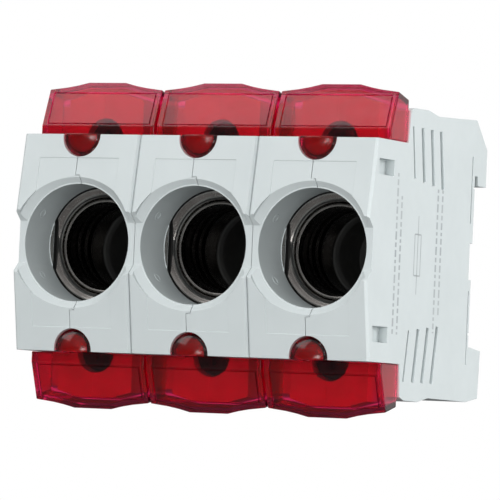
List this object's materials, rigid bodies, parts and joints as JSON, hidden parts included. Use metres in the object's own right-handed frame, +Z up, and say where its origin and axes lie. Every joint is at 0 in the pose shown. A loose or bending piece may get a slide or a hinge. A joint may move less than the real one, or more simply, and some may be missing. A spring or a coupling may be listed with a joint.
{
  "type": "fuse base",
  "caption": "Rail-mounted triple-pole base for screw-in fuse links: threaded wells in a grey body, clear red clip-on covers over the box terminals above and below.",
  "frame": {"origin": "on the rail seat (the back face that rests on the rail), mid-width and mid-height", "axes": "X across the poles, -Y out of the front, +Z up as mounted on a level rail"},
  "size_m": [0.0808, 0.0568, 0.0678],
  "materials": {
    "housing": "fine-grained light grey moulding",
    "cover": "clear deep red, polished",
    "nickel": "dark nickel plate",
    "guide": "black moulding",
    "copper": "plain copper alloy",
    "steel": "zinc plated"
  },
  "bodies": {
    "base": {"housing_left_1": "housing", "housing_right_1": "housing", "housing_left_2": "housing", "housing_right_2": "housing", "housing_left_3": "housing", "housing_right_3": "housing", "coupler_12_top": "housing", "coupler_12_bottom": "housing", "coupler_23_top": "housing", "coupler_23_bottom": "housing", "shell_1": "nickel", "guide_1": "guide", "line_bar_1": "copper", "load_bar_1": "copper", "foot_spring_1": "steel", "shell_2": "nickel", "guide_2": "guide", "line_bar_2": "copper", "load_bar_2": "copper", "foot_spring_2": "steel", "shell_3": "nickel", "guide_3": "guide", "line_bar_3": "copper", "load_bar_3": "copper", "foot_spring_3": "steel"},
    "foot_contact_1": {"foot_contact_1": "copper"},
    "foot_contact_2": {"foot_contact_2": "copper"},
    "foot_contact_3": {"foot_contact_3": "copper"},
    "screw_top_1": {"screw_top_1": "steel"},
    "clamp_top_1": {"clamp_top_1": "steel"},
    "cover_top_1": {"cover_top_1": "cover"},
    "screw_top_2": {"screw_top_2": "steel"},
    "clamp_top_2": {"clamp_top_2": "steel"},
    "cover_top_2": {"cover_top_2": "cover"},
    "screw_top_3": {"screw_top_3": "steel"},
    "clamp_top_3": {"clamp_top_3": "steel"},
    "cover_top_3": {"cover_top_3": "cover"},
    "screw_bottom_1": {"screw_bottom_1": "steel"},
    "clamp_bottom_1": {"clamp_bottom_1": "steel"},
    "cover_bottom_1": {"cover_bottom_1": "cover"},
    "screw_bottom_2": {"screw_bottom_2": "steel"},
    "clamp_bottom_2": {"clamp_bottom_2": "steel"},
    "cover_bottom_2": {"cover_bottom_2": "cover"},
    "screw_bottom_3": {"screw_bottom_3": "steel"},
    "clamp_bottom_3": {"clamp_bottom_3": "steel"},
    "cover_bottom_3": {"cover_bottom_3": "cover"},
    "rail_latch_1": {"rail_latch_1": "housing"},
    "rail_latch_2": {"rail_latch_2": "housing"},
    "rail_latch_3": {"rail_latch_3": "housing"}
  },
  "joints": [
    {"name": "foot_contact_1_press", "type": "slide", "parent": "base", "child": "foot_contact_1", "axis": [0, 1, 0], "range_m": [0, 0.0016], "stiffness_N_per_m": 3000, "springref_m": -0.0008, "deforming": ["foot_spring_1"]},
    {"name": "foot_contact_2_press", "type": "slide", "parent": "base", "child": "foot_contact_2", "axis": [0, 1, 0], "range_m": [0, 0.0016], "stiffness_N_per_m": 3000, "springref_m": -0.0008, "deforming": ["foot_spring_2"]},
    {"name": "foot_contact_3_press", "type": "slide", "parent": "base", "child": "foot_contact_3", "axis": [0, 1, 0], "range_m": [0, 0.0016], "stiffness_N_per_m": 3000, "springref_m": -0.0008, "deforming": ["foot_spring_3"]},
    {"name": "screw_top_1_turn", "type": "hinge", "parent": "base", "child": "screw_top_1", "pos_m": [-0.027, -0.034, 0.022], "axis": [0, 1, 0], "range_deg": [0, 2340]},
    {"name": "clamp_top_1_slide", "type": "slide", "parent": "base", "child": "clamp_top_1", "axis": [0, -1, 0], "range_m": [0, 0.0052]},
    {"name": "cover_top_1_pull", "type": "slide", "parent": "base", "child": "cover_top_1", "axis": [0, 0, 1], "range_m": [0, 0.014]},
    {"name": "screw_top_2_turn", "type": "hinge", "parent": "base", "child": "screw_top_2", "pos_m": [0, -0.034, 0.022], "axis": [0, 1, 0], "range_deg": [0, 2340]},
    {"name": "clamp_top_2_slide", "type": "slide", "parent": "base", "child": "clamp_top_2", "axis": [0, -1, 0], "range_m": [0, 0.0052]},
    {"name": "cover_top_2_pull", "type": "slide", "parent": "base", "child": "cover_top_2", "axis": [0, 0, 1], "range_m": [0, 0.014]},
    {"name": "screw_top_3_turn", "type": "hinge", "parent": "base", "child": "screw_top_3", "pos_m": [0.027, -0.034, 0.022], "axis": [0, 1, 0], "range_deg": [0, 2340]},
    {"name": "clamp_top_3_slide", "type": "slide", "parent": "base", "child": "clamp_top_3", "axis": [0, -1, 0], "range_m": [0, 0.0052]},
    {"name": "cover_top_3_pull", "type": "slide", "parent": "base", "child": "cover_top_3", "axis": [0, 0, 1], "range_m": [0, 0.014]},
    {"name": "screw_bottom_1_turn", "type": "hinge", "parent": "base", "child": "screw_bottom_1", "pos_m": [-0.027, -0.034, -0.022], "axis": [0, 1, 0], "range_deg": [0, 2340]},
    {"name": "clamp_bottom_1_slide", "type": "slide", "parent": "base", "child": "clamp_bottom_1", "axis": [0, -1, 0], "range_m": [0, 0.0052]},
    {"name": "cover_bottom_1_pull", "type": "slide", "parent": "base", "child": "cover_bottom_1", "axis": [0, 0, -1], "range_m": [0, 0.014]},
    {"name": "screw_bottom_2_turn", "type": "hinge", "parent": "base", "child": "screw_bottom_2", "pos_m": [0, -0.034, -0.022], "axis": [0, 1, 0], "range_deg": [0, 2340]},
    {"name": "clamp_bottom_2_slide", "type": "slide", "parent": "base", "child": "clamp_bottom_2", "axis": [0, -1, 0], "range_m": [0, 0.0052]},
    {"name": "cover_bottom_2_pull", "type": "slide", "parent": "base", "child": "cover_bottom_2", "axis": [0, 0, -1], "range_m": [0, 0.014]},
    {"name": "screw_bottom_3_turn", "type": "hinge", "parent": "base", "child": "screw_bottom_3", "pos_m": [0.027, -0.034, -0.022], "axis": [0, 1, 0], "range_deg": [0, 2340]},
    {"name": "clamp_bottom_3_slide", "type": "slide", "parent": "base", "child": "clamp_bottom_3", "axis": [0, -1, 0], "range_m": [0, 0.0052]},
    {"name": "cover_bottom_3_pull", "type": "slide", "parent": "base", "child": "cover_bottom_3", "axis": [0, 0, -1], "range_m": [0, 0.014]},
    {"name": "rail_latch_1_pull", "type": "slide", "parent": "base", "child": "rail_latch_1", "axis": [0, 0, -1], "range_m": [0, 0.0035]},
    {"name": "rail_latch_2_pull", "type": "slide", "parent": "base", "child": "rail_latch_2", "axis": [0, 0, -1], "range_m": [0, 0.0035]},
    {"name": "rail_latch_3_pull", "type": "slide", "parent": "base", "child": "rail_latch_3", "axis": [0, 0, -1], "range_m": [0, 0.0035]}
  ],
  "couplings": [
    {"joint": "screw_top_1_turn", "follows": "clamp_top_1_slide", "rad_per_m": 7854},
    {"joint": "screw_top_2_turn", "follows": "clamp_top_2_slide", "rad_per_m": 7854},
    {"joint": "screw_top_3_turn", "follows": "clamp_top_3_slide", "rad_per_m": 7854},
    {"joint": "screw_bottom_1_turn", "follows": "clamp_bottom_1_slide", "rad_per_m": 7854},
    {"joint": "screw_bottom_2_turn", "follows": "clamp_bottom_2_slide", "rad_per_m": 7854},
    {"joint": "screw_bottom_3_turn", "follows": "clamp_bottom_3_slide", "rad_per_m": 7854}
  ]
}
